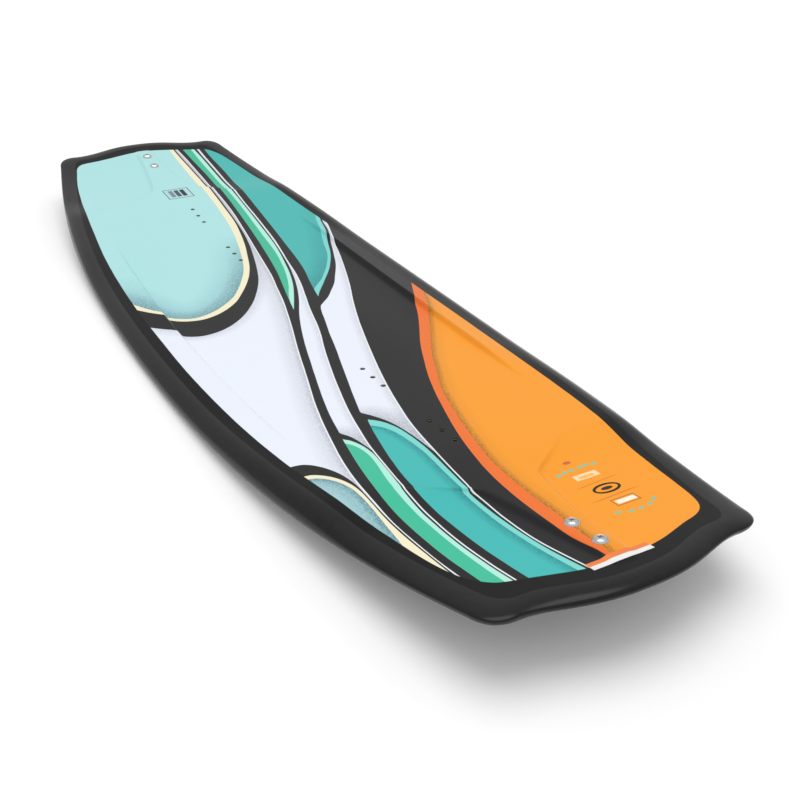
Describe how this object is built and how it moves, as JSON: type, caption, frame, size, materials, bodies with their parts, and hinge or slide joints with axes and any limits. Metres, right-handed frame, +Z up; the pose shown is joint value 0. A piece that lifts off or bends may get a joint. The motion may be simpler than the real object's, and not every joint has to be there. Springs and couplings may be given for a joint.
{
  "type": "wakeboard",
  "caption": "Twin-tip wakeboard with a printed deck, stepped deck shape, moulded dark rail, threaded binding inserts and a bolt-on fin at each end.",
  "frame": {"origin": "under the middle of the base, on the surface that the board rests on", "axes": "+X towards the nose along the board, +Y to the left side when facing the nose, +Z up out of the deck"},
  "size_m": [1.376, 0.43, 0.0732],
  "materials": {
    "deck_print": "printed sheet under a clear satin coat",
    "glass_laminate": "resin and glass cloth, satin",
    "foam": "closed-cell foam, matte",
    "base_sheet": "gloss sheet",
    "rail": "satin charcoal",
    "block": "machined solid plastic",
    "brass": "turned, dull",
    "fin": "moulded, satin",
    "stainless": "polished stainless",
    "label": "plain two-tone film"
  },
  "bodies": {
    "root": {"deck_sheet": "deck_print", "deck_laminate": "glass_laminate", "foam_core": "foam", "base_laminate": "glass_laminate", "base_sheet": "base_sheet", "rail": "rail", "nose_outer_block": "block", "nose_inner_block": "block", "tail_inner_block": "block", "tail_outer_block": "block", "nose_outer_inserts": "brass", "nose_inner_inserts": "brass", "tail_inner_inserts": "brass", "tail_outer_inserts": "brass", "nose_fin_block": "block", "tail_fin_block": "block", "nose_fin": "fin", "tail_fin": "fin", "nose_fin_nuts": "brass", "tail_fin_nuts": "brass", "nose_fin_bolts": "stainless", "tail_fin_bolts": "stainless", "nose_fin_washers": "stainless", "tail_fin_washers": "stainless", "nose_label": "label"}
  },
  "joints": []
}
